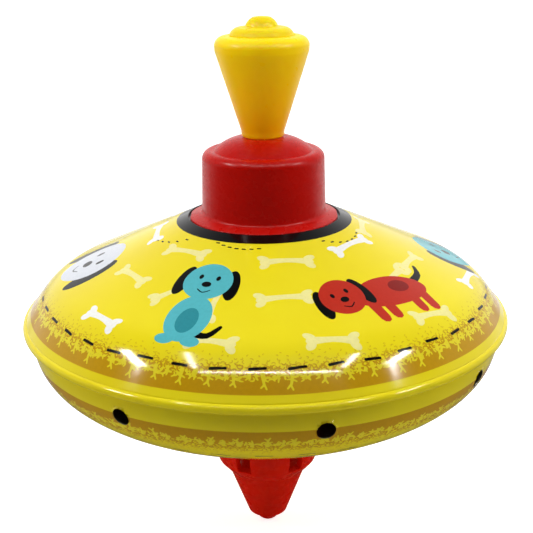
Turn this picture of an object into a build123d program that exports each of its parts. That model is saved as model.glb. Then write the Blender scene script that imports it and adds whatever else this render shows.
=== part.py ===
"""Pump-action humming top, made of the pieces that it comes apart into.

Units are millimetres. The origin is the lowest point of the tip, and +Z runs up the spin axis,
from the tip to the button on the knob. The front of the top faces -Y.

Pushing the knob down drives a twisted steel strip through a nut. The nut drops onto the ratchet
teeth of the clutch seat and turns the whole top. Pulling the knob up lifts the nut clear of the
teeth, so that the top runs on freely. The nut is drawn in that lifted place.
"""

import os
from math import asin, cos, degrees, pi, radians, sin

from build123d import *

# ---- driving dimensions ----

tin = 0.4  # wall of both shells
slack = 0.05  # between pieces of one body that fit into each other, each side

# rim: the upper shell's edge is rolled over the lower shell's flange
rim_r = 95.0
roll_r = 1.75
roll_z = 95.5
roll_start = 80  # degrees, where the roll leaves the crease under the shoulder band
roll_sweep = 190
crease_r, crease_z = 93.4, 97.62

# upper shell, outer surface
shoulder_r, shoulder_z = 84.0, 110.35
shoulder_bend = 28.0
press_bend = 0.3  # bends pressed into the tin
recess_r = 29.35
recess_lip_z = 134.68
recess_z = 133.6
collar_hole_r = 22.7

# lower shell, outer surface
neck_r = 91.65
neck_z = 91.0
flange_z = 95.1
flange_end_r = 94.4
land_r = 26.0  # flat panel that the foot bears on
land_z = 52.0
foot_hole_r = 20.2
bowl = [(89.1, 81.0), (84.5, 75.0), (78.7, 70.4), (61.3, 61.7), (land_r, land_z)]
hole_count = 8
hole_r = 3.3
hole_z = 85.4
hole_phase = 12.4  # degrees from the front towards +X

# collar
collar_r = 24.0
collar_bore = 21.6  # lower part, which takes the clutch seat
cage_bore = 20.6  # upper part, in which the nut turns
ledge_bore = 19.8  # ledge that the retainer is pressed against
collar_flange_r = 28.75
flange_flat = 28.35  # from the axis to the two flats of the flange
flange_edge = 1.0
lug_r = 29.3
lug_w = 14.0
lug_h = 0.7
lug_lift = 0.15  # clears the bend at the foot of the recess
dome_r = 19.0
dome_z = 160.1
plateau_r = 9.0
plateau_z = 165.1
ceiling_z = 158.2
snap_count = 6
snap_angle = 22.0

# guide bush
mouth_r = 6.05
bush_r = 6.0
bush_flange_r = 9.5
bush_flange_z = 156.5
bush_bore = 3.45
bush_top = 164.9

# drive
lead = 60.0  # rise of the strip in one full turn
strip_w = 6.4
strip_t = 1.8
strip_gap = 0.15  # between the strip and the slot of the nut, each side
strip_bottom = 19.5
strip_top = 172.0
stud_r = 2.0
stud_top = 182.0
nut_r = 12.0
nut_hub_r = 8.5
nut_face = 144.0
nut_step = 147.5
nut_top = 152.4
teeth = 12
tooth_h = 1.2
tooth_in, tooth_out = 7.5, 11.5
tooth_fill = 0.7  # share of the pitch that a tooth's root takes
seat_bottom, seat_top = 137.0, 141.0
seat_hole = 4.2
key_w = 5.0
key_r = 22.4
key_count = 3
key_phase = 30
retainer_bottom, retainer_top = 153.0, 156.2
retainer_hole = 4.6

# guide tube and the end stop that runs in it
tube_r = 8.0
tube_bore = 7.2
tube_bottom = 30.0
socket_depth = 6.0
socket_wall = 2.4
travel = 110.0  # stroke of the knob
stop_play = 1.0  # left between the end stop and the clutch seat with the knob fully up
stop_r = 6.6
stop_h = 5.0
stop_top = seat_bottom - travel - stop_play

# foot
tip_r, tip_h = 4.9, 3.1
nose_r, nose_z = 7.9, 5.0
waist_r, waist_z = 15.7, 25.6
flare_r, flare_z = 20.2, 30.6
cup_r = 21.6
cup_z = 35.6
cup_bore = 18.6
foot_flange_r = 24.0
foot_flange_t = 1.6
foot_floor = 30.4
foot_bore_bottom = 14.0
window_w, window_bottom, window_top = 6.2, 31.4, 44.0
window_phase = 33.0  # degrees from the front towards +X

# knob
knob_bottom = 165.4
knob_foot_r = 8.1
knob_r = 17.8
knob_floor = 176.0
knob_well_r = 8.5
knob_mouth_r = 12.25
knob_rim_z = 203.1
cap_ledge = 199.0
cap_wall = 1.8
cap_top = 209.9
washer_r, washer_t = 5.0, 1.0
hex_flats, hex_h = 7.0, 3.2


def outward(radius, from_front, height=0.0):
    """Plane facing away from the axis, at an angle from the front (-Y) towards +X; its y is up."""
    angle = radians(from_front - 90)
    spot = (radius * cos(angle), radius * sin(angle), height)
    return Plane(origin=spot, x_dir=(-sin(angle), cos(angle), 0), z_dir=(cos(angle), sin(angle), 0))


def half_section(from_front):
    """Plane through the axis, with x running outward and y up."""
    angle = radians(from_front - 90)
    return Plane(origin=(0, 0, 0), x_dir=(cos(angle), sin(angle), 0), z_dir=(sin(angle), -cos(angle), 0))


def around(count, phase=0.0):
    """Angles of count things spaced evenly round the axis."""
    return [phase + 360 / count * n for n in range(count)]


def snap_legs(inner, outer, root_z, up):
    """Hooked legs that pass through a hole in the tin and grip its far side."""
    grip = root_z + up * (tin + 0.1)
    barb = 1.1
    with BuildPart() as legs:
        for middle in around(snap_count):
            with BuildSketch(half_section(middle - snap_angle / 2)):
                with BuildLine():
                    Polyline(
                        (inner, root_z - up * 1.0),
                        (outer, root_z - up * 1.0),
                        (outer, grip),
                        (outer + barb, grip + up * 0.2),
                        (outer + barb, grip + up * 0.9),
                        (outer - 0.3, grip + up * 3.0),
                        (inner, grip + up * 3.0),
                        close=True,
                    )
                make_face()
            revolve(axis=Axis.Z, revolution_arc=snap_angle)
    return legs.part


def face_teeth(base_z, tip_z, square_side):
    """Ring of ratchet teeth from one height to another; square_side is +1 or -1 round the axis."""
    run = (tooth_in + tooth_out) / 2 * pi / teeth * tooth_fill
    with BuildPart() as ring:
        with BuildSketch(*[outward(tooth_in, angle) for angle in around(teeth)]):
            with BuildLine():
                Polyline((-run, base_z), (run, base_z), (square_side * run, tip_z), close=True)
            make_face()
        extrude(amount=tooth_out - tooth_in)
    return ring.part


def dome(radius, height):
    """Radius of the sphere whose cap has this radius and height."""
    return (radius**2 + height**2) / (2 * height)


def twisted_bar(width, thickness, bottom, top):
    """A flat bar on the axis, twisted one turn per lead, always in phase with the drive strip."""
    with BuildPart() as bar:
        with BuildLine() as axis_line:
            Line((0, 0, bottom), (0, 0, top))
        with BuildLine() as guide:
            Helix(pitch=lead, height=top - bottom, radius=width, center=(0, 0, bottom))
        with BuildSketch(Plane.XY.offset(bottom)):
            Rectangle(width, thickness, rotation=360 * bottom / lead)
        sweep(path=axis_line.line, binormal=guide.edge())
    return bar.part


# ---- upper shell: cone, shoulder band, and the roll that closes over the lower flange ----

roll_c = rim_r - roll_r
roll_top = (roll_c + roll_r * cos(radians(roll_start)), roll_z + roll_r * sin(radians(roll_start)))

with BuildPart() as upper_shell:
    with BuildSketch(Plane.XZ):
        with BuildLine():
            FilletPolyline(
                (collar_hole_r, recess_z),
                (recess_r, recess_z),
                (recess_r, recess_lip_z),
                (shoulder_r, shoulder_z),
                (crease_r, crease_z),
                radius=[press_bend, press_bend * 0.7, shoulder_bend],
            )
            Line((crease_r, crease_z), roll_top)
            CenterArc((roll_c, roll_z), roll_r, roll_start, -roll_sweep)
            offset(amount=tin, side=Side.RIGHT, kind=Kind.INTERSECTION)
        make_face()
    revolve(axis=Axis.Z)
upper_shell.part.label = "upper_shell"


# ---- lower shell: bowl with a flat land for the foot, straight neck, flange, sound holes ----

with BuildPart() as lower_shell:
    with BuildSketch(Plane.XZ):
        with BuildLine():
            FilletPolyline(
                (flange_end_r, flange_z), (neck_r, flange_z), (neck_r, neck_z), radius=press_bend
            )
            arc = TangentArc((neck_r, neck_z), bowl[0], tangent=(0, -1))
            for point in bowl[1:]:
                arc = TangentArc(arc @ 1, point, tangent=arc % 1)
            Line(arc @ 1, (foot_hole_r, land_z))
            offset(amount=tin, side=Side.RIGHT, kind=Kind.INTERSECTION)
        make_face()
    revolve(axis=Axis.Z)
    with BuildSketch(*[outward(80, angle, hole_z) for angle in around(hole_count, hole_phase)]):
        Circle(hole_r)
    extrude(amount=20, mode=Mode.SUBTRACT)
lower_shell.part.label = "lower_shell"


# ---- collar: domed housing of the clutch, with a flange on the tin and legs through it ----

collar_legs = snap_legs(collar_bore - 0.6, collar_hole_r - 0.2, recess_z, up=-1)

with BuildPart() as collar:
    with BuildSketch(Plane.XZ):
        with BuildLine():
            Line((mouth_r, plateau_z), (plateau_r, plateau_z))
            ThreePointArc((plateau_r, plateau_z), (14.3, 163.4), (dome_r, dome_z))
            FilletPolyline(
                (dome_r, dome_z),
                (collar_r - 0.6, dome_z + 0.3),
                (collar_r, recess_z + 2.4),
                (collar_flange_r, recess_z + flange_edge),
                (collar_flange_r, recess_z),
                (collar_bore, recess_z),
                radius=[3.2, 1.3, 0.3, 0.15],
            )
            Polyline(
                (collar_bore, recess_z),
                (collar_bore, seat_top),
                (cage_bore, seat_top),
                (cage_bore, retainer_top),
                (ledge_bore, retainer_top),
                (ledge_bore, retainer_top + 1.0),
                (17.6, 159.0),
                (11.0, 161.6),
                (11.0, ceiling_z),
                (mouth_r, ceiling_z),
                (mouth_r, plateau_z),
            )
        make_face()
    revolve(axis=Axis.Z)
    # two flats on the flange, left and right
    with BuildSketch(Plane.XY.offset(recess_z)):
        with Locations((flange_flat + 2, 0), (-flange_flat - 2, 0)):
            Rectangle(4, 20)
    extrude(amount=3, mode=Mode.SUBTRACT)
    # lugs under the flange, front and back
    with BuildSketch(Plane.XY.offset(recess_z + lug_lift)):
        Circle(lug_r)
        Circle(collar_flange_r - 3, mode=Mode.SUBTRACT)
        Rectangle(lug_w, lug_r * 2, mode=Mode.INTERSECT)
    extrude(amount=lug_h)
    add(collar_legs)
    # slots for the keys of the clutch seat
    with BuildSketch(*[outward(collar_bore - 1, a, recess_z) for a in around(key_count, key_phase)]):
        Rectangle(key_w + 2 * slack, seat_top - recess_z, align=(Align.CENTER, Align.MIN))
    extrude(amount=key_r + slack - collar_bore + 1, mode=Mode.SUBTRACT)
collar.part.label = "collar"


# ---- clutch seat: keyed into the collar, with ratchet teeth up and a socket for the tube ----

seat_teeth = face_teeth(seat_top, seat_top + tooth_h, square_side=-1)

with BuildPart() as clutch_seat:
    with BuildSketch(Plane.XZ):
        with BuildLine():
            Polyline(
                (seat_hole, seat_bottom),
                (tube_r + slack, seat_bottom),
                (tube_r + slack, seat_bottom - 3.5),
                (tube_r + 2.0, seat_bottom - 3.5),
                (tube_r + 2.0, seat_bottom),
                (collar_bore - slack, seat_bottom),
                (collar_bore - slack, seat_top),
                (seat_hole, seat_top),
                close=True,
            )
        make_face()
    revolve(axis=Axis.Z)
    with BuildSketch(*[outward(collar_bore - 2, a, seat_bottom) for a in around(key_count, key_phase)]):
        Rectangle(key_w, seat_top - seat_bottom, align=(Align.CENTER, Align.MIN))
    extrude(amount=key_r - collar_bore + 2)
    add(seat_teeth)
clutch_seat.part.label = "clutch_seat"


# ---- nut retainer: disc above the nut, which also keeps the guide bush in ----

with BuildPart() as nut_retainer:
    with BuildSketch(Plane.XY.offset(retainer_bottom)):
        Circle(cage_bore - slack)
        Circle(retainer_hole, mode=Mode.SUBTRACT)
    extrude(amount=retainer_top - retainer_bottom)
    chamfer(nut_retainer.edges().filter_by(GeomType.CIRCLE).group_by(SortBy.RADIUS)[0], 0.6)
nut_retainer.part.label = "nut_retainer"


# ---- guide bush: turns in the mouth of the collar, and the strip slides through it ----

with BuildPart() as guide_bush:
    with BuildSketch(Plane.XZ):
        with BuildLine():
            Polyline(
                (bush_bore, bush_flange_z),
                (bush_flange_r, bush_flange_z),
                (bush_flange_r, ceiling_z - 0.2),
                (bush_r, ceiling_z - 0.2),
                (bush_r, bush_top),
                (bush_bore, bush_top),
                close=True,
            )
        make_face()
    revolve(axis=Axis.Z)
    chamfer(guide_bush.edges().sort_by(Axis.Z)[-2:], 0.4)
guide_bush.part.label = "guide_bush"


# ---- drive nut: its slot follows the twist of the strip, and its teeth face down ----

nut_teeth = face_teeth(nut_face, nut_face - tooth_h, square_side=1)
nut_slot = twisted_bar(strip_w + 2 * strip_gap, strip_t + 2 * strip_gap, nut_face - 2, nut_top + 1)

with BuildPart() as drive_nut:
    with BuildSketch(Plane.XY.offset(nut_face)):
        Circle(nut_r)
    extrude(amount=nut_step - nut_face)
    with BuildSketch(Plane.XY.offset(nut_step)):
        Circle(nut_hub_r)
    extrude(amount=nut_top - nut_step)
    add(nut_teeth)
    add(nut_slot, mode=Mode.SUBTRACT)
drive_nut.part.label = "drive_nut"


# ---- spiral rod: twisted flat strip with a round stud at the top for the knob ----

strip = twisted_bar(strip_w, strip_t, strip_bottom, strip_top)

with BuildPart() as spiral_rod:
    add(strip)
    with BuildSketch(Plane.XY.offset(strip_top)):
        Circle(stud_r)
    extrude(amount=stud_top - strip_top)
    chamfer(spiral_rod.edges().filter_by(GeomType.CIRCLE).sort_by(Axis.Z)[-1], 0.5)
spiral_rod.part.label = "spiral_rod"


# ---- end stop: collar pressed on the lower end of the strip, running in the tube ----

stop_slot = twisted_bar(strip_w + slack, strip_t + slack, strip_bottom, stop_top + 1)

with BuildPart() as end_stop:
    with BuildSketch(Plane.XY.offset(stop_top - stop_h)):
        Circle(stop_r)
    extrude(amount=stop_h)
    chamfer(end_stop.edges().filter_by(GeomType.CIRCLE), 0.5)
    add(stop_slot, mode=Mode.SUBTRACT)
end_stop.part.label = "end_stop"


# ---- centre tube: stands in the foot, carries the clutch seat and guides the end stop ----

with BuildPart() as centre_tube:
    with BuildSketch(Plane.XY.offset(tube_bottom)):
        Circle(tube_r)
        Circle(tube_bore, mode=Mode.SUBTRACT)
    extrude(amount=seat_bottom - tube_bottom)
centre_tube.part.label = "centre_tube"


# ---- foot: moulded cup and cone with the tip that the top spins on ----

foot_legs = snap_legs(cup_bore + 0.3, foot_hole_r - 0.2, land_z, up=1)

with BuildPart() as foot:
    with BuildSketch(Plane.XZ):
        with BuildLine():
            tip_ball = dome(tip_r, tip_h)
            CenterArc((0, tip_ball), tip_ball, -90, degrees(asin(tip_r / tip_ball)))
            FilletPolyline(
                (tip_r, tip_h),
                (nose_r, nose_z),
                (waist_r, waist_z),
                (flare_r, flare_z),
                (cup_r, cup_z),
                (cup_r, land_z - foot_flange_t),
                (foot_flange_r, land_z - foot_flange_t),
                (foot_flange_r, land_z),
                (cup_bore, land_z),
                radius=[1.5, 0.8, 3.0, 6.0, 1.0, 0.5, 0.3],
            )
            Polyline(
                (cup_bore, land_z),
                (cup_bore, foot_floor + 4.0),
                (16.0, foot_floor),
                (tube_r + socket_wall, foot_floor),
                (tube_r + socket_wall, tube_bottom + socket_depth),
                (tube_r + slack, tube_bottom + socket_depth),
                (tube_r + slack, tube_bottom),
                (tube_bore, tube_bottom),
                (tube_bore, foot_bore_bottom),
                (0, foot_bore_bottom),
                (0, 0),
            )
        make_face()
    revolve(axis=Axis.Z)
    # windows that the mould leaves under the snap legs
    with BuildSketch(*[outward(cup_bore - 2, a, window_bottom) for a in around(snap_count, window_phase)]):
        Rectangle(window_w, window_top - window_bottom, align=(Align.CENTER, Align.MIN))
    extrude(amount=cup_r - cup_bore + 4, mode=Mode.SUBTRACT)
    add(foot_legs)
foot.part.label = "foot"


# ---- knob: hollow cone held in the hand ----

knob_socket = twisted_bar(strip_w + 2 * slack, strip_t + 2 * slack, knob_bottom - 1, strip_top)

with BuildPart() as knob:
    with BuildSketch(Plane.XZ):
        with BuildLine():
            FilletPolyline(
                (0, knob_bottom),
                (knob_foot_r, knob_bottom),
                (knob_foot_r + 0.2, knob_bottom + 2.2),
                (17.63, 197.3),
                (knob_r, 199.6),
                radius=[0.7, 2.0, 4.0],
            )
            ThreePointArc((knob_r, 199.6), (16.7, 201.75), (14.2, 202.85))
            Polyline(
                (14.2, 202.85),
                (knob_mouth_r + 0.5, knob_rim_z),
                (knob_mouth_r, knob_rim_z - 0.4),
                (knob_mouth_r, cap_ledge),
                (knob_mouth_r - 1.0, cap_ledge),
                (knob_well_r, knob_floor),
                (0, knob_floor),
                (0, knob_bottom),
            )
        make_face()
    revolve(axis=Axis.Z)
    with BuildSketch(Plane.XY.offset(strip_top)):
        Circle(stud_r + slack)
    extrude(amount=knob_floor - strip_top, mode=Mode.SUBTRACT)
    add(knob_socket, mode=Mode.SUBTRACT)
knob.part.label = "knob"


# ---- washer and nut that hold the knob on the rod, inside the knob ----

with BuildPart() as rod_washer:
    with BuildSketch(Plane.XY.offset(knob_floor)):
        Circle(washer_r)
        Circle(stud_r + slack, mode=Mode.SUBTRACT)
    extrude(amount=washer_t)
rod_washer.part.label = "rod_washer"

with BuildPart() as rod_nut:
    with BuildSketch(Plane.XY.offset(knob_floor + washer_t)):
        RegularPolygon(hex_flats / 2, 6, major_radius=False)
        Circle(stud_r + slack, mode=Mode.SUBTRACT)
    extrude(amount=hex_h)
rod_nut.part.label = "rod_nut"


# ---- knob cap: stepped dome with a button, pressed into the mouth of the knob ----

button_r, button_h = 3.2, 0.35
button_ball = dome(button_r, button_h)
button_half = degrees(asin(button_r / button_ball))

with BuildPart() as knob_cap:
    with BuildSketch(Plane.XZ):
        with BuildLine():
            Line((knob_mouth_r - slack, cap_ledge), (knob_mouth_r - slack, 203.3))
            Line((knob_mouth_r - slack, 203.3), (11.8, 203.8))
            ThreePointArc((11.8, 203.8), (10.6, 205.2), (7.7, 206.0))
            Line((7.7, 206.0), (6.1, 206.4))
            Spline((6.1, 206.4), (5.2, 208.0), (button_r, cap_top - button_h))
            CenterArc((0, cap_top - button_ball), button_ball, 90, -button_half)
            Polyline(
                (0, cap_top),
                (0, cap_top - cap_wall),
                (2.8, cap_top - cap_wall - 0.6),
                (4.2, 204.6),
                (9.6, 203.4),
                (knob_mouth_r - cap_wall, 202.0),
                (knob_mouth_r - cap_wall, cap_ledge),
                (knob_mouth_r - slack, cap_ledge),
            )
        make_face()
    revolve(axis=Axis.Z)
knob_cap.part.label = "knob_cap"


# ---- write one STEP for each piece ----

pieces = [
    upper_shell, lower_shell, collar, clutch_seat, nut_retainer, guide_bush, drive_nut,
    spiral_rod, end_stop, centre_tube, foot, knob, rod_washer, rod_nut, knob_cap,
]
os.makedirs("parts", exist_ok=True)
for piece in pieces:
    export_step(piece.part, f"parts/{piece.part.label}.step")
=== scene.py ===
import math
import random

import bpy
from mathutils import Matrix, Vector, geometry


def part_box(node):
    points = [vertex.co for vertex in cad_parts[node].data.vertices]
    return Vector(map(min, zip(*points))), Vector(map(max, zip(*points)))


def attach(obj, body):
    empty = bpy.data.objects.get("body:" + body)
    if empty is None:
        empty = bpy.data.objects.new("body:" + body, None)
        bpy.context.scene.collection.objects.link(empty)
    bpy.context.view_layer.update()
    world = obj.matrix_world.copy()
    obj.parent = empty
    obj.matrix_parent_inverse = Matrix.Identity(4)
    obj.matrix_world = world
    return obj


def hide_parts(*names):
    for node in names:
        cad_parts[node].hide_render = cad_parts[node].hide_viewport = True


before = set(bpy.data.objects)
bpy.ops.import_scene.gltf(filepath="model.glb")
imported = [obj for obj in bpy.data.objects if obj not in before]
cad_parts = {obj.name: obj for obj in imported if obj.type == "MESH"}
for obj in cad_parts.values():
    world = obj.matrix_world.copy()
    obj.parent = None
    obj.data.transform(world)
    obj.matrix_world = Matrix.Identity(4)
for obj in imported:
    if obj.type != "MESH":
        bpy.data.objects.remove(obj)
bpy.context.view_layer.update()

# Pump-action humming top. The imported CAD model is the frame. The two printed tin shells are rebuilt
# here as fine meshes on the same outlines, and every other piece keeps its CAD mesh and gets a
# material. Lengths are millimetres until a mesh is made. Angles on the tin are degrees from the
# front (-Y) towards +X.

MM = 0.001
TURN = 360  # segments round the axis
SAME_SPOT = 1e-4  # points nearer than this, in millimetres, are one point
NO_INK = (0, 0, 0, 0)


# ---- outlines: (radius, height) pairs, in millimetres ----

def low(node):
    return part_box(node)[0] / MM


def high(node):
    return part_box(node)[1] / MM


def arc(centre, radius, start, end, step=8.0):
    """Points on an arc, angles in degrees."""
    count = max(2, int(abs(end - start) / step) + 1)
    angles = [math.radians(start + (end - start) * n / count) for n in range(count + 1)]
    return [(centre[0] + radius * math.cos(a), centre[1] + radius * math.sin(a)) for a in angles]


def rounded(corners, radii, step=8.0):
    """A polyline with each inner corner replaced by an arc of the given radius."""
    path = [corners[0]]
    for before, here, after, radius in zip(corners, corners[1:], corners[2:], radii):
        here = Vector(here)
        back = (Vector(before) - here).normalized()
        on = (Vector(after) - here).normalized()
        half = back.angle(on) / 2
        if radius <= 0 or half > math.radians(89.9):
            path.append(tuple(here))
            continue
        reach = radius / math.tan(half)
        centre = here + (back + on).normalized() * radius / math.sin(half)
        first = here + back * reach - centre
        last = here + on * reach - centre
        start = math.degrees(math.atan2(first.y, first.x))
        turn = math.degrees(math.atan2(last.y, last.x)) - start
        turn = (turn + 180) % 360 - 180
        path += arc(centre, radius, start, start + turn, step)
    path.append(corners[-1])
    return path


def tangent_arcs(start, heading, points, step=4.0):
    """Arcs from point to point, each leaving in the direction in which the last one arrived."""
    path = [start]
    here, along = Vector(start), Vector(heading).normalized()
    for point in points:
        chord = Vector(point) - here
        turn = 2 * along.angle_signed(chord)
        count = max(2, int(abs(math.degrees(turn)) / step) + 1)
        size = chord.length / (2 * math.sin(abs(turn) / 2)) if abs(turn) > 1e-6 else 0
        for n in range(1, count + 1):
            part = turn * n / count
            length = 2 * size * math.sin(abs(part) / 2) if size else chord.length * n / count
            direction = along.copy()
            direction.rotate(Matrix.Rotation(-part / 2, 2))
            path.append(tuple(here + direction * length))
        along.rotate(Matrix.Rotation(-turn, 2))
        here = Vector(point)
    return path


def offset_outline(path, amount):
    """The outline moved sideways to its right by amount."""
    moved = []
    for n, here in enumerate(path):
        before = Vector(path[max(n - 1, 0)])
        after = Vector(path[min(n + 1, len(path) - 1)])
        along = (after - before).normalized()
        moved.append((here[0] + along.y * amount, here[1] - along.x * amount))
    return moved


class Outline:
    """A curve of revolution, measured along its length."""

    def __init__(self, path):
        self.path = [path[0]]
        for point in path[1:]:
            if (Vector(point) - Vector(self.path[-1])).length > SAME_SPOT:
                self.path.append(point)
        self.run = [0.0]
        for here, after in zip(self.path, self.path[1:]):
            self.run.append(self.run[-1] + (Vector(after) - Vector(here)).length)
        self.length = self.run[-1]
        self.normals = []
        for n in range(len(self.path)):
            before = Vector(self.path[max(n - 1, 0)])
            after = Vector(self.path[min(n + 1, len(self.path) - 1)])
            along = (after - before).normalized()
            self.normals.append(Vector((-along.y, along.x)))

    def span(self, s):
        """The stretch of the path that holds a length, and how far along it that length is."""
        low_end, high_end = 0, len(self.run) - 1
        while high_end - low_end > 1:
            middle = (low_end + high_end) // 2
            if self.run[middle] <= s:
                low_end = middle
            else:
                high_end = middle
        share = (s - self.run[low_end]) / (self.run[high_end] - self.run[low_end])
        return low_end, share

    def point(self, s):
        n, share = self.span(s)
        return tuple(Vector(self.path[n]).lerp(Vector(self.path[n + 1]), share))

    def normal(self, s):
        n, share = self.span(s)
        return self.normals[n].lerp(self.normals[n + 1], share).normalized()

    def where(self, value, axis):
        """Length at which the radius (axis 0) or the height (axis 1), which only grow, has a value."""
        for n, (here, after) in enumerate(zip(self.path, self.path[1:])):
            if here[axis] <= value <= after[axis] and after[axis] > here[axis]:
                share = (value - here[axis]) / (after[axis] - here[axis])
                return self.run[n] + share * (self.run[n + 1] - self.run[n])
        return 0.0 if value < self.path[0][axis] else self.length


# ---- building meshes of revolution with smooth, exact normals ----

def spin(radius, height, degrees):
    """The point or the direction of an outline, turned to an angle from the front."""
    angle = math.radians(degrees - 90)
    return Vector((radius * math.cos(angle), radius * math.sin(angle), height))


class Build:
    """Collects vertices, faces, corner normals and corner colours of one mesh."""

    def __init__(self):
        self.points, self.index = [], {}
        self.faces, self.normals, self.inks, self.slots = [], [], [], []

    def vertex(self, place):
        key = (round(place.x, 4), round(place.y, 4), round(place.z, 4))
        if key not in self.index:
            self.index[key] = len(self.points)
            self.points.append(place * MM)
        return self.index[key]

    def face(self, places, normals, ink=NO_INK, slot=0):
        corners = [self.vertex(place) for place in places]
        keep = [n for n in range(len(corners)) if corners[n] != corners[n - 1]]
        if len(keep) < 3 or len({corners[n] for n in keep}) < 3:
            return
        self.faces.append([corners[n] for n in keep])
        self.normals += [normals[n] for n in keep]
        self.inks += list(ink) * len(keep)
        self.slots.append(slot)

    def lathe(self, path, ink=NO_INK, slot=0, sharp=math.radians(30)):
        """Turns an open path round the axis. The outside is on the left of the path."""
        path = [
            p for n, p in enumerate(path)
            if n == 0 or (Vector(p) - Vector(path[n - 1])).length > SAME_SPOT
        ]
        sides = []
        for here, after in zip(path, path[1:]):
            along = (Vector(after) - Vector(here)).normalized()
            sides.append(Vector((-along.y, along.x)))
        for n, (here, after) in enumerate(zip(path, path[1:])):
            start, end = sides[n].copy(), sides[n].copy()
            if n > 0 and sides[n].angle(sides[n - 1]) < sharp:
                start = (sides[n] + sides[n - 1]).normalized()
            if n + 1 < len(sides) and sides[n].angle(sides[n + 1]) < sharp:
                end = (sides[n] + sides[n + 1]).normalized()
            for k in range(TURN):
                a, b = 360 * k / TURN, 360 * (k + 1) / TURN
                self.face(
                    [spin(*here, a), spin(*after, a), spin(*after, b), spin(*here, b)],
                    [spin(*start, a), spin(*end, a), spin(*end, b), spin(*start, b)],
                    ink,
                    slot,
                )

    def finish(self, name, materials, body, record_slot, stands_for):
        """Makes the piece, which takes the place of one CAD node."""
        mesh = bpy.data.meshes.new(name)
        mesh.from_pydata(self.points, [], self.faces)
        mesh.polygons.foreach_set("use_smooth", [True] * len(self.faces))
        mesh.polygons.foreach_set("material_index", self.slots)
        layer = mesh.color_attributes.new("ink", "FLOAT_COLOR", "CORNER")
        layer.data.foreach_set("color", self.inks)
        mesh.normals_split_custom_set([tuple(n) for n in self.normals])
        for material in materials:
            mesh.materials.append(material)
        piece = bpy.data.objects.new(name, mesh)
        bpy.context.scene.collection.objects.link(piece)
        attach(piece, body)
        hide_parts(stands_for)


# ---- inks: sRGB colours turned into the renderer's linear ones ----

def srgb(red, green, blue):
    def linear(value):
        value /= 255
        return value / 12.92 if value <= 0.04045 else ((value + 0.055) / 1.055) ** 2.4

    return (linear(red), linear(green), linear(blue), 1.0)


INK = {
    "black": srgb(5, 5, 6),
    "cream": srgb(250, 241, 158),
    "white": srgb(250, 250, 246),
    "shade": srgb(196, 199, 206),
    "pale": srgb(222, 226, 234),
    "aqua": srgb(88, 190, 200),
    "deep_aqua": srgb(48, 146, 158),
    "red": srgb(196, 46, 28),
    "deep_red": srgb(140, 20, 12),
    "yellow": srgb(244, 226, 40),
    "ochre": srgb(206, 156, 12),
    "mustard": srgb(210, 166, 18),
    "pale_mustard": srgb(224, 192, 24),
}


# ---- flat shapes that are printed on the tin, as closed outlines in millimetres ----

def curve_through(points, closed, per=4):
    """A smooth (Catmull-Rom) line through the points."""
    count = len(points)
    line = []
    for n in range(count if closed else count - 1):
        if closed:
            four = [Vector(points[(n + k) % count]) for k in (-1, 0, 1, 2)]
        else:
            four = [Vector(points[min(max(n + k, 0), count - 1)]) for k in (-1, 0, 1, 2)]
        a, b, c, d = four
        for step in range(per):
            t = step / per
            squared, cubed = 2 * a - 5 * b + 4 * c - d, 3 * b - a - 3 * c + d
            line.append(tuple((2 * b + (c - a) * t + squared * t**2 + cubed * t**3) / 2))
    if not closed:
        line.append(tuple(points[-1]))
    return line


def blob(points):
    """A smooth closed outline through the points."""
    return curve_through(points, True)


def oval(x, y, wide, tall, tilt=0.0, sides=20):
    """An ellipse of that width and height."""
    c, s = math.cos(math.radians(tilt)), math.sin(math.radians(tilt))
    outline = []
    for n in range(sides):
        a = 2 * math.pi * n / sides
        u, v = wide / 2 * math.cos(a), tall / 2 * math.sin(a)
        outline.append((x + u * c - v * s, y + u * s + v * c))
    return outline


def egg(x, y, wide, tall, tilt=0.0):
    """The same for the large shapes, with a smooth line drawn through fewer points."""
    return blob(oval(x, y, wide, tall, tilt, sides=10))


def stroke(points, widths, per=3, caps=4):
    """A brush stroke with round ends, its width running evenly through the given ones."""
    line = curve_through(points, False, per) if len(points) > 2 else list(points)
    left, right = [], []
    last = len(line) - 1
    for n, here in enumerate(line):
        along = (Vector(line[min(n + 1, last)]) - Vector(line[max(n - 1, 0)])).normalized()
        place = n / last * (len(widths) - 1)
        k = min(int(place), len(widths) - 2)
        half = (widths[k] + (widths[k + 1] - widths[k]) * (place - k)) / 2
        left.append((here[0] - along.y * half, here[1] + along.x * half))
        right.append((here[0] + along.y * half, here[1] - along.x * half))

    def cap(start, middle):
        arm = Vector(start) - Vector(middle)
        ends = []
        for n in range(1, caps):
            spoke = arm.copy()
            spoke.rotate(Matrix.Rotation(math.pi * n / caps, 2))
            ends.append((middle[0] + spoke.x, middle[1] + spoke.y))
        return ends

    return right + cap(right[-1], line[-1]) + left[::-1] + cap(left[0], line[0])


def bone(length, ink):
    """Five overlapping shapes of one ink: a waisted shaft and two knobs at each end."""
    half = length / 2
    shaft = half * 0.82
    shapes = [stroke([(-shaft, 0), (0, 0.3), (shaft, 0)], [3.4, 2.3, 2.0, 2.3, 3.4])]
    for side in (-1, 1):
        for up, wide, tall in ((1.75, 4.6, 2.5), (-1.75, 4.0, 2.7)):
            shapes.append(oval(side * half * 0.84, up, wide, tall, side * up * 15))
    return [(ink, shape) for shape in shapes]


class Art:
    """Collects printed shapes in plan millimetres: x to the right and y to the back of the top."""

    def __init__(self):
        self.shapes = []

    def put(self, ink, outline, origin, angle, scale=1.0):
        turn = math.radians(angle)
        u = Vector((math.cos(turn), math.sin(turn))) * scale
        v = Vector((-math.sin(turn), math.cos(turn))) * scale
        self.shapes.append((ink, [tuple(Vector(origin) + u * p[0] + v * p[1]) for p in outline]))

    def put_all(self, shapes, origin, angle, scale=1.0):
        for ink, outline in shapes:
            self.put(ink, outline, origin, angle, scale)


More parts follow.
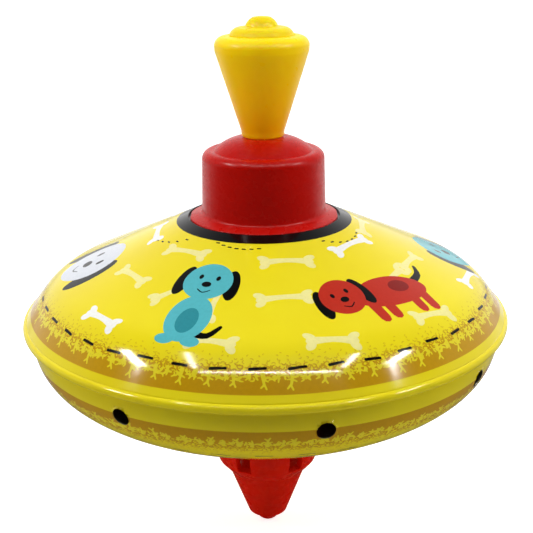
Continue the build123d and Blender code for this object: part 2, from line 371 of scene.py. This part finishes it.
# ---- plain printed puppies, each in its own frame: x along the tin, y up towards the collar ----

def puppy_face(x, y, size, coat):
    """A round face with a hanging ear on each side, two eyes, a nose and a smile."""
    ears = [
        egg(x + side * size * 0.5, y - size * 0.02, size * 0.32, size * 0.76, side * 10)
        for side in (-1, 1)
    ]
    eyes = [
        oval(x + side * size * 0.18, y + size * 0.1, size * 0.09, size * 0.12)
        for side in (-1, 1)
    ]
    nose = oval(x, y - size * 0.08, size * 0.2, size * 0.14)
    corner, lip = y - size * 0.22, y - size * 0.29
    mouth = stroke([(x - size * 0.13, corner), (x, lip), (x + size * 0.13, corner)], [0.4, 0.5, 0.4])
    face = [("black", ear) for ear in ears] + [(coat, egg(x, y, size, size * 0.92))]
    return face + [("black", part) for part in eyes + [nose, mouth]]


def sitting_puppy(coat, shade):
    shapes = [
        ("black", stroke([(5.0, 3.4), (9.6, 3.6), (12.6, 8.0)], [2.6, 2.4, 1.4])),  # tail
        (coat, egg(0.0, 9.6, 16.0, 20.0)),
        (shade, egg(0.0, 8.6, 7.6, 11.0)),
        (coat, egg(-4.6, 0.4, 7.0, 3.8)),
        (coat, egg(4.6, 0.4, 7.0, 3.8)),
    ]
    return shapes + puppy_face(0.0, 26.6, 18.0, coat)


def standing_puppy(coat, shade):
    shapes = [("black", stroke([(20.0, 7.0), (26.0, 10.6), (28.4, 15.0)], [3.0, 2.4, 1.4]))]  # tail
    for leg in (-4.6, 1.0, 13.4, 19.0):
        shapes.append((coat, stroke([(leg, 2.0), (leg, -5.6)], [4.6, 4.0])))
    shapes += [(coat, egg(7.0, 4.6, 33.0, 13.6)), (shade, egg(12.0, 6.0, 9.0, 5.6))]
    return shapes + puppy_face(-12.6, 8.0, 17.0, coat)


WORM_ROWS = (  # distance from the band's edge, spacing, length, width and ink
    (-1.4, 4.4, 2.4, 0.66, "yellow"),
    (-0.6, 2.6, 3.0, 0.86, "yellow"),
    (0.1, 2.1, 3.2, 0.95, "yellow"),
    (0.6, 1.6, 2.6, 0.6, "ochre"),
    (1.3, 1.5, 2.6, 0.6, "ochre"),
    (2.1, 1.6, 2.3, 0.55, "mustard"),
    (3.0, 1.8, 2.0, 0.52, "mustard"),
    (4.0, 2.1, 1.8, 0.46, "pale_mustard"),
    (5.2, 3.2, 1.4, 0.4, "pale_mustard"),
    (6.5, 4.6, 1.0, 0.36, "pale_mustard"),
    (7.8, 7.0, 0.8, 0.32, "pale_mustard"),
)


def twig(points, widths, per=3):
    """A thin stroke of few points, for what repeats many times round the band."""
    return stroke(points, widths, per, caps=3)


def band_shapes(edge, seed, reach):
    """Yellow tufts and worms that eat into the ochre band, and ochre worms that fade away from it.

    edge is the radius of the band's edge, and reach the height of the tufts. Returns (ink, outline,
    degrees) with x along the rim and y away from the band, from its edge.
    """
    dice = random.Random(seed)
    shapes = []

    def worm(x, y, length, width, ink):
        heading = dice.uniform(-2.6, 2.6)
        bend = dice.choice((-1, 1)) * dice.uniform(0.5, 1.1)
        points = [(0.0, 0.0)]
        for n in range(3):
            points.append((points[-1][0] + math.cos(heading) * length / 3,
                           points[-1][1] + math.sin(heading) * length / 3 * 0.8))
            heading += bend
        middle = Vector(points[1]).lerp(Vector(points[2]), 0.5)
        outline = twig(points, [width * 0.7, width, width * 0.6], per=2)
        shapes.append((ink, [(p[0] - middle.x, p[1] - middle.y + y) for p in outline], x))

    for height, pitch, length, width, ink in WORM_ROWS:
        count = int(2 * math.pi * edge / pitch)
        for n in range(count):
            along = 360 / count * (n + 0.5 + dice.uniform(-0.4, 0.4))
            worm(along, height + dice.uniform(-0.45, 0.45), length, width, ink)
    gap = 360 / tuft_count
    for n in range(tuft_count):
        middle = gap * (n + dice.uniform(-0.12, 0.12))
        lean = dice.uniform(-0.9, 0.9)
        tall = dice.uniform(0.75, 1.15) * reach
        knee, fork = (lean * 0.4, -tall * 0.4), (lean, -tall * 0.66)
        tuft = [
            twig([(0, 0.6), knee, (lean, -tall * 0.72)], [1.7, 0.95, 0.85], per=2),
            twig([fork, (lean - 1.05, -tall * 0.9)], [0.75, 0.6]),
            twig([fork, (lean + 0.7, -tall)], [0.75, 0.6]),
            twig([(knee[0], -tall * 0.3), (knee[0] + 1.5, -tall * 0.46)], [0.7, 0.5]),
        ]
        shapes += [("yellow", part, middle) for part in tuft]
        side = middle + gap * (0.5 + dice.uniform(-0.1, 0.1))
        tip = (0.1, -2.2 * dice.uniform(0.7, 1.1))
        spur = twig([(0, 0.8), (0.3, -0.9), tip], [1.4, 0.8, 0.5], per=2)
        prong = twig([(0.2, -0.6), (-1.0, -1.5)], [0.7, 0.5])
        shapes += [("yellow", part, side) for part in (spur, prong)]
    return shapes


# ---- the skins of the two shells, cut along the edges of everything printed on them ----

class Skin:
    """The outside of a shell, from its hole to its rim, laid flat as a ring.

    side is +1 where the outside is on the left of the outline, and -1 where it is on the right.
    """

    def __init__(self, path, side):
        self.outline = Outline(path)
        self.side = side
        self.start = path[0][0]
        self.length = self.outline.length

    def flat(self, s, degrees):
        """The flat point at a length along the outline and an angle from the front."""
        angle = math.radians(degrees - 90)
        return ((self.start + s) * math.cos(angle), (self.start + s) * math.sin(angle))

    def flat_from_plan(self, x, y):
        """The flat point of the place on the tin that is seen there from above."""
        radius = math.hypot(x, y)
        share = (self.start + self.outline.where(radius, 0)) / radius
        return (x * share, y * share)

    def place(self, x, y, depth=0.0):
        """Place and normal on the tin of a flat point, or of the point under it."""
        rho = math.hypot(x, y)
        s = min(max(rho - self.start, 0.0), self.length)
        degrees = math.degrees(math.atan2(y, x)) + 90
        radius, height = self.outline.point(s)
        normal = self.outline.normal(s) * self.side
        spot = spin(radius - normal.x * depth, height - normal.y * depth, degrees)
        return spot, spin(normal.x, normal.y, degrees)

    def edge(self, s, depth):
        """(radius, height) of the skin, or of the point under it."""
        radius, height = self.outline.point(s)
        normal = self.outline.normal(s) * self.side
        return (radius - normal.x * depth, height - normal.y * depth)


def lay_skin(build, skin, rings, bands=(), shapes=(), holes=(), depth=0.0, slot=0):
    """Adds the skin to the mesh as triangles that follow every printed edge.

    rings are lengths along the outline that get a ring of points, bands are (from, to, ink) in the
    same lengths, shapes are (ink, flat outline) from the lowest to the topmost, and holes are flat
    outlines to leave out. With a depth it is the inner skin, which faces the other way.
    """
    points, edges, faces = [], [], []
    for s in rings:
        first = len(points)
        points += [skin.flat(s, 360 * k / TURN) for k in range(TURN)]
        cut = s in (rings[0], rings[-1]) or any(s in band[:2] for band in bands)
        if cut:
            edges += [(first + k, first + (k + 1) % TURN) for k in range(TURN)]
    for outline in [shape[1] for shape in shapes] + list(holes):
        first = len(points)
        area = sum(a[0] * b[1] - b[0] * a[1] for a, b in zip(outline, outline[1:] + outline[:1]))
        points += outline if area > 0 else outline[::-1]
        faces.append(list(range(first, len(points))))
    found, _, triangles, came_from, _, covers = geometry.delaunay_2d_cdt(
        [Vector(p) for p in points], edges, faces, 0, 1e-5
    )
    flat = [points[old[0]] if old else tuple(new) for new, old in zip(found, came_from)]
    spots = [skin.place(x, y, depth) for x, y in flat]
    turned = -1 if depth else 1
    inner = skin.start + rings[0]
    for corners, cover in zip(triangles, covers):
        x = sum(flat[n][0] for n in corners) / len(corners)
        y = sum(flat[n][1] for n in corners) / len(corners)
        rho = math.hypot(x, y)
        top = max(cover) if cover else -1
        if rho < inner * math.cos(math.pi / TURN) or top >= len(shapes):
            continue
        ink = NO_INK
        for start, end, name in bands:
            if start < rho - skin.start < end:
                ink = INK[name]
        if top >= 0:
            ink = INK[shapes[top][0]]
        places = [spots[n][0] for n in corners]
        normals = [spots[n][1] * turned for n in corners]
        if (places[1] - places[0]).cross(places[2] - places[0]).dot(normals[0]) < 0:
            places.reverse()
            normals.reverse()
        build.face(places, normals, ink, slot)


def spread(start, end, step):
    """Evenly spaced lengths from start to end, both included."""
    count = max(1, round((end - start) / step))
    return [start + (end - start) * n / count for n in range(count + 1)]


def ring_lengths(skin, stops, flat_step=6.0, bend_step=1.3):
    """Lengths for the rings of points: every stop, and closer together where the outline bends."""
    least_bend, inset = 0.02, 1e-3
    lengths = []
    for start, end in zip(stops, stops[1:]):
        first, last = skin.outline.normal(start + inset), skin.outline.normal(end - inset)
        lengths += spread(start, end, bend_step if first.angle(last) > least_bend else flat_step)
    return sorted(set(lengths))


# ---- driving sizes of the shells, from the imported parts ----

tin = 0.4  # thickness of the sheet
rim_r = high("upper_shell").x
roll_r = 1.75
roll_z = low("upper_shell").z + roll_r
roll_c = rim_r - roll_r
crease = (rim_r - 1.6, roll_z + 2.12)
shoulder = (rim_r - 11.0, roll_z + 14.85)
shoulder_bend = 28.0
recess_lip_z = roll_z + 39.18
recess_z = recess_lip_z - 1.08
recess_r = 29.35
collar_hole_r = 22.7
foot_hole_r = 20.2
land_z = low("lower_shell").z
neck = (91.65, 91.0)
flange = (high("lower_shell").x, high("lower_shell").z - tin)
bowl = [(89.1, 81.0), (84.5, 75.0), (78.7, 70.4), (61.3, 61.7), (26.0, land_z)]
ring_r = 34.06  # edge of the black ring round the collar
grid_r = (60.0, 77.0)  # radii of two more rings of points on the cone
band_start, band_end = 87.9, 91.8  # radii of the ochre band on the upper shell
lower_band_top, lower_band_edge = 86.4, 80.7  # heights of the one on the lower shell
lower_band_r = neck[0] - 1.5
tuft_count = 60
tuft_reach, lower_tuft_reach = 4.5, 3.2
dash_r, dash_count = 86.3, 42
lower_dash_z, lower_dash_count = 73.3, 36
hole_count, hole_r, hole_z, hole_phase = 8, 3.3, 85.4, 12.4


# ---- materials ----

def feed(links, socket, value):
    """Gives a socket a number or a colour, or links it where the value is a socket itself."""
    if hasattr(value, "links"):
        links.new(value, socket)
    else:
        socket.default_value = value


class Finish:
    """One procedural material, built on a Principled shader."""

    def __init__(self, name, colour, **settings):
        self.made = bpy.data.materials.new(name)
        self.made.use_nodes = True
        self.nodes = self.made.node_tree.nodes
        self.links = self.made.node_tree.links
        self.shader = self.nodes["Principled BSDF"]
        self.shader.inputs["Base Color"].default_value = colour
        for setting, value in settings.items():
            socket = setting.replace("_", " ").title().replace("Ior", "IOR")
            self.shader.inputs[socket].default_value = value
        self.place = self.nodes.new("ShaderNodeTexCoord").outputs["Object"]

    def noise(self, scale, detail=2.0, stretch=(1, 1, 1)):
        """Noise in object space. stretch squeezes it along each axis."""
        squeeze = self.nodes.new("ShaderNodeMapping")
        squeeze.inputs["Scale"].default_value = stretch
        self.links.new(self.place, squeeze.inputs["Vector"])
        texture = self.nodes.new("ShaderNodeTexNoise")
        texture.inputs["Scale"].default_value = scale
        texture.inputs["Detail"].default_value = detail
        self.links.new(squeeze.outputs["Vector"], texture.inputs["Vector"])
        return texture.outputs["Fac"]

    def along(self, axis):
        """The object's own x, y or z."""
        split = self.nodes.new("ShaderNodeSeparateXYZ")
        self.links.new(self.place, split.inputs["Vector"])
        return split.outputs[axis]

    def ramp(self, value, start, end, low_end, high_end):
        """A value turned from one range into another, and clamped."""
        node = self.nodes.new("ShaderNodeMapRange")
        numbers = {"From Min": start, "From Max": end, "To Min": low_end, "To Max": high_end}
        for socket, number in numbers.items():
            node.inputs[socket].default_value = number
        self.links.new(value, node.inputs["Value"])
        return node.outputs["Result"]

    def mix(self, share, first, second, blend="MIX"):
        """Two colours, or sockets that carry colours, mixed by a value."""
        node = self.nodes.new("ShaderNodeMix")
        node.data_type = "RGBA"
        node.blend_type = blend
        for n, value in ((0, share), (6, first), (7, second)):
            feed(self.links, node.inputs[n], value)
        return node.outputs[2]

    def drive(self, socket, value):
        self.links.new(value, self.shader.inputs[socket])

    def bump(self, value, strength, distance):
        node = self.nodes.new("ShaderNodeBump")
        node.inputs["Strength"].default_value = strength
        node.inputs["Distance"].default_value = distance
        self.links.new(value, node.inputs["Height"])
        self.links.new(node.outputs["Normal"], self.shader.inputs["Normal"])


def printed_tin():
    finish = Finish("printed_tin", srgb(246, 226, 30), roughness=0.12, specular_ior_level=0.4)
    ink = finish.nodes.new("ShaderNodeAttribute")
    ink.attribute_name = "ink"
    patches = finish.ramp(finish.noise(22, 3), 0.35, 0.7, 0, 1)
    base = finish.mix(patches, srgb(247, 229, 30), srgb(242, 220, 24))
    grain = finish.ramp(finish.noise(900, 3), 0.4, 0.72, 0, 0.16)
    chalk = finish.mix(grain, ink.outputs["Color"], srgb(206, 204, 200), "MULTIPLY")
    finish.drive("Base Color", finish.mix(ink.outputs["Alpha"], base, chalk))
    finish.drive("Roughness", finish.ramp(finish.noise(60, 3), 0.3, 0.7, 0.08, 0.12))
    finish.bump(finish.noise(420, 2), 0.005, 0.0002)
    return finish.made


def bare_tin():
    finish = Finish("bare_tin", srgb(168, 166, 158), metallic=1.0, roughness=0.35)
    cloud = finish.noise(160, 3)
    finish.drive("Base Color", finish.mix(cloud, srgb(150, 148, 142), srgb(186, 183, 174)))
    finish.drive("Roughness", finish.ramp(finish.noise(90, 3), 0.3, 0.7, 0.28, 0.45))
    return finish.made


def red_plastic(name, colour, deep, glow, shine):
    """Red plastic that lets some light through, and whose slight emission is a painted glow in place of
    that light.
    """
    finish = Finish(name, colour, roughness=0.26, subsurface_weight=glow, specular_ior_level=shine)
    # painted light: the emission, at half of glow, makes the plastic glow in its own red, standing in
    # for light that passes through it
    finish.shader.inputs["Emission Color"].default_value = colour
    finish.shader.inputs["Emission Strength"].default_value = glow / 2
    finish.shader.inputs["Subsurface Radius"].default_value = (1.0, 0.1, 0.03)
    finish.shader.inputs["Subsurface Scale"].default_value = 0.006
    finish.drive("Base Color", finish.mix(finish.noise(35, 3), colour, deep))
    finish.drive("Roughness", finish.ramp(finish.noise(240, 3), 0.3, 0.7, 0.22, 0.32))
    finish.bump(finish.noise(1500, 2), 0.015, 0.0001)
    return finish.made


def yellow_plastic(name, colour, amber, bottom, top, glow):
    """Translucent plastic, deeper amber towards the bottom, whose emission is a painted glow."""
    finish = Finish(name, colour, roughness=0.3, subsurface_weight=0.8, specular_ior_level=0.2)
    finish.shader.inputs["Subsurface Radius"].default_value = (1.0, 0.6, 0.02)
    finish.shader.inputs["Subsurface Scale"].default_value = 0.01
    depth = finish.ramp(finish.along(2), bottom, top, 0, 1)
    cloud = finish.ramp(finish.noise(45, 2), 0.3, 0.7, 0.97, 1.03)
    tint = finish.nodes.new("ShaderNodeMath")
    tint.operation = "MULTIPLY"
    finish.links.new(depth, tint.inputs[0])
    finish.links.new(cloud, tint.inputs[1])
    tinted = finish.mix(tint.outputs[0], amber, colour)
    finish.drive("Base Color", tinted)
    # painted light: the emission makes the plastic glow in its tinted colour, standing in for light that
    # passes through it
    finish.drive("Emission Color", tinted)
    finish.shader.inputs["Emission Strength"].default_value = glow
    finish.drive("Roughness", finish.ramp(finish.noise(260, 3), 0.3, 0.7, 0.27, 0.38))
    finish.bump(finish.noise(1300, 2), 0.015, 0.0001)
    return finish.made


def white_nylon():
    finish = Finish("white_nylon", srgb(222, 219, 208), roughness=0.5, subsurface_weight=0.2)
    finish.shader.inputs["Subsurface Scale"].default_value = 0.002
    cloud = finish.noise(80, 3)
    finish.drive("Base Color", finish.mix(cloud, srgb(226, 223, 212), srgb(212, 208, 194)))
    finish.bump(finish.noise(1400, 2), 0.1, 0.0001)
    return finish.made


def steel(name, colour, dark, stretch):
    finish = Finish(name, colour, metallic=1.0, roughness=0.3)
    drawn = finish.noise(700, 3, stretch)
    finish.drive("Base Color", finish.mix(drawn, colour, dark))
    finish.drive("Roughness", finish.ramp(drawn, 0.3, 0.7, 0.2, 0.42))
    finish.bump(drawn, 0.08, 0.0001)
    return finish.made


tin_print = printed_tin()
tin_bare = bare_tin()
# glow is painted light: an emission in place of light that passes through the plastic; on the red parts
# it also sets the real see-through
collar_red = red_plastic("collar_red", srgb(206, 16, 4), srgb(196, 10, 3), glow=0.04, shine=0.18)
foot_red = red_plastic("foot_red", srgb(204, 24, 3), srgb(186, 8, 2), glow=0.22, shine=0.1)
knob_height = (low("knob").z * MM, high("knob").z * MM)
knob_colours = (srgb(255, 216, 6), srgb(252, 178, 0))
knob_yellow = yellow_plastic("knob_yellow", *knob_colours, *knob_height, glow=0.17)
cap_yellow = yellow_plastic("cap_yellow", *knob_colours, *knob_height, glow=0.06)
nylon = white_nylon()
strip_steel = steel("strip_steel", srgb(200, 200, 202), srgb(160, 160, 164), (1, 1, 0.06))
tube_steel = steel("tube_steel", srgb(186, 186, 190), srgb(150, 150, 156), (1, 1, 0.03))

CAD_FINISH = {
    "collar": collar_red,
    "foot": foot_red,
    "knob": knob_yellow,
    "knob_cap": cap_yellow,
    "clutch_seat": nylon,
    "nut_retainer": nylon,
    "guide_bush": nylon,
    "drive_nut": nylon,
    "spiral_rod": strip_steel,
    "end_stop": strip_steel,
    "rod_washer": strip_steel,
    "rod_nut": strip_steel,
    "centre_tube": tube_steel,
}
for node, finish in CAD_FINISH.items():
    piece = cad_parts[node]
    if not piece.material_slots:
        piece.data.materials.append(finish)
    for place in piece.material_slots:
        place.material = finish


# ---- the picture on the upper shell ----

def upper_shapes(skin):
    art = Art()

    def polar(radius, degrees):
        angle = math.radians(degrees - 90)
        return (radius * math.cos(angle), radius * math.sin(angle))

    # stitches in scallops round the black ring: angles, radii at both ends, and bulge
    for start, end, near, far, bulge in (
        (-28.6, -3.0, 34.9, 36.4, 1.1),
        (-70.0, -51.0, 42.7, 36.8, 1.1),
        (37.0, 66.0, 35.8, 38.0, 2.2),
        (92.0, 118.0, 36.0, 38.4, 1.8),
        (146.0, 178.0, 35.4, 40.0, 1.4),
        (-122.0, -96.0, 36.2, 38.6, 1.8),
        (-172.0, -146.0, 35.6, 37.6, 1.2),
    ):
        count = max(4, round(abs(end - start) / 4.6))
        for n in range(count + 1):
            share = n / count
            radius = near + (far - near) * share + bulge * math.sin(math.pi * share)
            degrees = start + (end - start) * share
            art.put("black", twig([(-0.55, 0), (0.55, 0)], [0.6, 0.6]), polar(radius, degrees), degrees)

    # long stitches near the rim, each a little off its line
    dice = random.Random(5)
    for n in range(dash_count):
        half = dice.uniform(2.5, 2.9)
        degrees = 360 / dash_count * (n - 0.2)
        spot = polar(dash_r + dice.uniform(-0.3, 0.3), degrees)
        stitch = twig([(-half, 0), (half, 0)], [0.72, 0.62])
        art.put("black", stitch, spot, degrees + dice.uniform(-4, 4))

    # bones: place, length, tilt and ink
    bones = (
        (7.9, -42.1, 19.5, 7, "cream"), (6.5, -59.4, 19.5, 8, "cream"),
        (22.1, -76.3, 18, 10, "cream"), (31.8, -25.6, 22, 52, "white"),
        (54, -22.5, 18, 66, "cream"), (78, -13.8, 21, 72, "white"),
        (58.4, -53.8, 18, 36, "cream"), (-28.5, -30.6, 19, -37, "cream"),
        (-41, -5, 19, 88, "white"), (-57, -54.4, 17.5, -50, "white"),
        (-47.9, -34.4, 18.5, -57, "cream"), (-17.9, -76.9, 17, -15, "cream"),
        (-31, -51, 18, 12, "cream"), (-17, -60, 17, 70, "cream"),
        (38, -5, 18, 88, "cream"), (46.5, -38, 16, 62, "cream"),
        (-56, 14, 18, 30, "cream"), (-38, 22, 19, 118, "white"),
        (-10, 44, 19, 8, "white"), (14, 42, 18, -28, "cream"),
        (40, 18, 19, 64, "cream"), (10, 76, 19, 4, "cream"),
        (-20, 74, 18, 24, "white"), (42, 64, 19, -38, "cream"),
        (66, 40, 18, -62, "white"), (-62, 46, 19, 52, "white"),
        (-46, 62, 18, 30, "cream"), (-8, 60, 18, 76, "cream"),
        (-78, 24, 18, 70, "cream"),
    )
    for x, y, length, tilt, ink in bones:
        art.put_all(bone(length, ink), (x, y), tilt)

    # puppies: shapes, place, turn and scale
    for puppy, spot, turn, scale in (
        (sitting_puppy("aqua", "deep_aqua"), (-29.5, -74.3), -21.6, 1.0),
        (standing_puppy("red", "deep_red"), (41.5, -55.0), 37.0, 1.0),
        (puppy_face(0.0, 0.0, 28.0, "pale"), (-66.6, -6.25), -84.6, 1.0),
        (puppy_face(0.0, 0.0, 25.0, "aqua"), (71.0, 9.0), 96.0, 1.0),
        (sitting_puppy("red", "deep_red"), (48.0, 60.0), 142.0, 0.8),
        (standing_puppy("aqua", "deep_aqua"), (-6.0, 62.0), 184.0, 1.0),
        (sitting_puppy("white", "shade"), (-52.0, 62.0), -140.0, 0.85),
    ):
        art.put_all(puppy, spot, turn, scale)

    flat = [(ink, [skin.flat_from_plan(*p) for p in outline]) for ink, outline in art.shapes]
    band = skin.outline.where(band_start, 0)
    return band_on(skin, band, band_start, seed=11, reach=tuft_reach) + flat


def band_on(skin, edge, radius, seed, reach):
    """The tufts and worms of a band whose inner edge lies at that length and radius."""
    return [
        (ink, [skin.flat(edge - y, middle + math.degrees(x / radius)) for x, y in outline])
        for ink, outline, middle in band_shapes(radius, seed, reach)
    ]


# ---- the shells ----

recess_bend, recess_lip_bend = 0.3, 0.21
recess_floor = [(collar_hole_r, recess_z), (recess_r, recess_z)]
corners = recess_floor + [(recess_r, recess_lip_z), shoulder, crease]
whole = rounded(corners, [recess_bend, recess_lip_bend, shoulder_bend], 3.0)
split = max(n for n, p in enumerate(whole) if p[0] < recess_r + recess_bend)
roll = [crease] + arc((roll_c, roll_z), roll_r, 80, -110, 10)


def build_upper():
    skin = Skin(whole[split:], 1)
    build = Build()
    marks = [skin.outline.where(r, 0) for r in (ring_r, *grid_r, band_start, band_end)]
    stops = [0.0] + marks + [skin.length]
    bands = [(0.0, marks[0], "black"), (marks[-2], marks[-1], "ochre")]
    lay_skin(build, skin, ring_lengths(skin, stops), bands, upper_shapes(skin))
    build.lathe(roll)
    inside = offset_outline(whole[:-1] + roll, tin)
    build.lathe([roll[-1]] + inside[::-1] + [whole[0]], slot=1)
    build.lathe(whole[: split + 1], ink=INK["black"])
    build.finish("upper_shell_tin", [tin_print, tin_bare], "top_body", "yellow_tin", "upper_shell")


def lower_shapes(skin):
    """The band's tufts and worms, and a ring of long stitches below them."""
    dice = random.Random(9)
    band = skin.outline.where(lower_band_edge, 1)
    laid = band_on(skin, band, lower_band_r, seed=23, reach=lower_tuft_reach)
    edge = skin.outline.where(lower_dash_z, 1)
    radius = skin.edge(edge, 0)[0]
    for n in range(lower_dash_count):
        half = dice.uniform(2.6, 3.0)
        lean = dice.uniform(-0.06, 0.06)
        middle = 360 / lower_dash_count * (n - 0.06)
        stitch = twig([(-half, -half * lean), (half, half * lean)], [0.7, 0.6])
        outline = [skin.flat(edge + y, middle + math.degrees(x / radius)) for x, y in stitch]
        laid.append(("black", outline))
    return laid


def sound_holes(skin, sides=28):
    """Round holes drilled from the side, as flat outlines."""
    outlines = []
    for n in range(hole_count):
        middle = hole_phase + 360 / hole_count * n
        outline = []
        for k in range(sides):
            a = 2 * math.pi * k / sides
            s = skin.outline.where(hole_z + hole_r * math.sin(a), 1)
            across = hole_r * math.cos(a) / skin.edge(s, 0)[0]
            outline.append(skin.flat(s, middle + math.degrees(math.asin(across))))
        outlines.append(outline)
    return outlines


def build_lower():
    down = tangent_arcs(neck, (0, -1), bowl, 3.0) + [(foot_hole_r, land_z)]
    skin = Skin(down[::-1], -1)
    build = Build()
    levels = [skin.outline.where(z, 1) for z in (lower_band_edge, lower_band_top)]
    land_end = skin.outline.where(land_z + 0.05, 1)
    stops = [0.0, land_end] + levels + [skin.length]
    holes = sound_holes(skin)
    rings = ring_lengths(skin, stops)
    lay_skin(build, skin, rings, [(levels[0], levels[1], "ochre")], lower_shapes(skin), holes)
    lay_skin(build, skin, rings, [], [], holes, depth=tin, slot=1)
    for outline in holes:
        for here, after in zip(outline, outline[1:] + outline[:1]):
            near, far = skin.place(*here), skin.place(*after)
            near_in, far_in = skin.place(*here, tin), skin.place(*after, tin)
            across = (far[0] - near[0]).cross(near_in[0] - near[0]).normalized()
            build.face([near[0], near_in[0], far_in[0], far[0]], [-across] * 4, slot=1)
    flange_top = flange[1] + tin
    build.lathe([
        skin.edge(skin.length, tin), (neck[0] - tin, flange_top), (flange[0], flange_top), flange,
        (neck[0], flange[1]), skin.edge(skin.length, 0),
    ])
    build.lathe([skin.edge(0.0, 0), skin.edge(0.0, tin)], slot=1)
    build.finish("lower_shell_tin", [tin_print, tin_bare], "top_body", "yellow_tin", "lower_shell")


build_upper()
build_lower()


# ---- floor, light and camera ----

def paper_floor():
    """White paper that the camera sees as lit from behind.

    It throws light back up only near the top, and mirrors as dark nearby and as bright far behind.
    """
    mesh = bpy.data.meshes.new("floor")
    reach = 12.0
    corners = [(-reach, -reach, 0), (reach, -reach, 0), (reach, reach, 0), (-reach, reach, 0)]
    mesh.from_pydata(corners, [], [(0, 1, 2, 3)])
    finish = Finish("paper", (0.8, 0.8, 0.8, 1), roughness=0.9, specular_ior_level=0.0)
    finish.shader.inputs["Emission Color"].default_value = (1, 1, 1, 1)
    finish.shader.inputs["Emission Strength"].default_value = 0.75
    dull = finish.nodes.new("ShaderNodeBsdfDiffuse")
    away = finish.nodes.new("ShaderNodeVectorMath")
    away.operation = "LENGTH"
    finish.links.new(finish.place, away.inputs[0])
    pool = finish.ramp(away.outputs["Value"], 0.13, 0.3, 1.0, 0.12)
    path = finish.nodes.new("ShaderNodeLightPath").outputs
    behind = finish.ramp(finish.along(1), 0.05, 0.4, 0.12, 1.0)
    finish.links.new(finish.mix(path["Is Glossy Ray"], pool, behind), dull.inputs["Color"])
    both = finish.nodes.new("ShaderNodeMixShader")
    finish.links.new(path["Is Camera Ray"], both.inputs[0])
    finish.links.new(dull.outputs[0], both.inputs[1])
    finish.links.new(finish.shader.outputs[0], both.inputs[2])
    finish.links.new(both.outputs[0], finish.nodes["Material Output"].inputs["Surface"])
    mesh.materials.append(finish.made)
    floor = bpy.data.objects.new("floor", mesh)
    bpy.context.scene.collection.objects.link(floor)


def strip_light(name, spot, start, end, width, radiance):
    """A long lamp a metre from a spot on the tin, seen from there between two directions."""
    spot, start, end = Vector(spot), Vector(start), Vector(end)
    lamp = bpy.data.lights.new(name, "AREA")
    lamp.shape = "RECTANGLE"
    lamp.size, lamp.size_y = (end - start).length, width
    lamp.energy = radiance * math.pi * lamp.size * lamp.size_y
    light = bpy.data.objects.new(name, lamp)
    back = ((start + end) / 2).normalized()
    side = (end - start).normalized()
    up = back.cross(side).normalized()
    turn = Matrix((up.cross(back), up, back)).transposed().to_4x4()
    light.matrix_world = Matrix.Translation(spot + (start + end) / 2) @ turn
    bpy.context.scene.collection.objects.link(light)
    return light


def studio_sky():
    """Bright behind and above, dark in front. Mirrored, it is bright behind and dark overhead."""
    world = bpy.data.worlds.new("studio")
    bpy.context.scene.world = world
    world.use_nodes = True
    nodes, links = world.node_tree.nodes, world.node_tree.links
    way = nodes.new("ShaderNodeTexCoord").outputs["Generated"]
    path = nodes.new("ShaderNodeLightPath").outputs

    def slope(back, up, level):
        """Brightness that grows towards the back and the top, and never falls to nothing."""
        product = nodes.new("ShaderNodeVectorMath")
        product.operation = "DOT_PRODUCT"
        product.inputs[1].default_value = (0, back, up)
        links.new(way, product.inputs[0])
        total = nodes.new("ShaderNodeMath")
        total.inputs[1].default_value = level
        links.new(product.outputs["Value"], total.inputs[0])
        floor = nodes.new("ShaderNodeMath")
        floor.operation = "MAXIMUM"
        floor.inputs[1].default_value = 0.02
        links.new(total.outputs[0], floor.inputs[0])
        return floor.outputs[0]

    def choose(share, first, second):
        node = nodes.new("ShaderNodeMix")
        for n, value in ((0, share), (2, first), (3, second)):
            feed(links, node.inputs[n], value)
        return node.outputs[0]

    light = choose(path["Is Glossy Ray"], slope(0.62, 0.5, 0.24), slope(0.62, -0.7, 0.45))
    links.new(choose(path["Is Camera Ray"], light, 1.0), nodes["Background"].inputs["Strength"])
    nodes["Background"].inputs["Color"].default_value = (1, 1, 1, 1)


camera_place = (0.0007, -0.4021, 0.2445)
camera_tilt, camera_roll, camera_lens = 71.88, -0.73, 72.2


def look():
    camera = bpy.data.objects.new("camera", bpy.data.cameras.new("camera"))
    camera.data.lens = camera_lens
    camera.data.sensor_width = 36.0
    tilt = Matrix.Rotation(math.radians(camera_tilt), 4, "X")
    roll_over = Matrix.Rotation(math.radians(camera_roll), 4, "Z")
    camera.matrix_world = Matrix.Translation(camera_place) @ tilt @ roll_over
    bpy.context.scene.collection.objects.link(camera)
    bpy.context.scene.camera = camera
    bpy.context.scene.view_settings.view_transform = "Standard"


paper_floor()
# lamps that are only seen as highlights on the lacquer
for name, spot, start, end, width, radiance in (
    ("left_strip", (-0.044, -0.076, 0.106), (-0.718, 0.03, 0.695), (-0.733, -0.275, 0.621), 0.075, 60.0),
    ("right_strip", (0.044, -0.077, 0.106), (0.76, -0.043, 0.648), (0.727, -0.29, 0.618), 0.07, 60.0),
    ("left_corner", (-0.024, -0.082, 0.108), (-0.393, -0.062, 0.918), (-0.43, -0.42, 0.8), 0.03, 40.0),
    ("right_corner", (0.027, -0.082, 0.108), (0.484, -0.13, 0.866), (0.475, -0.43, 0.77), 0.04, 40.0),
    ("front_bar", (0.0, -0.088, 0.1065), (-0.431, -0.49, 0.757), (0.491, -0.495, 0.717), 0.015, 70.0),
):
    strip_light(name, spot, start, end, width, radiance).visible_diffuse = False
# broad soft lamps that only light
for name, start, end, width, radiance in (
    ("overhead", (-0.5, 0.35, 0.9), (0.5, 0.35, 0.9), 0.6, 1.25),
    ("front_soft", (-0.45, -0.43, 0.88), (0.45, -0.43, 0.88), 0.4, 3.2),
    ("left_soft", (-0.93, 0.2, 0.2), (-0.93, -0.2, 0.2), 0.4, 5.5),
    ("right_soft", (0.93, 0.2, 0.2), (0.93, -0.2, 0.2), 0.4, 5.5),
):
    strip_light(name, (0.0, 0.0, 0.105), start, end, width, radiance).visible_glossy = False
studio_sky()
look()
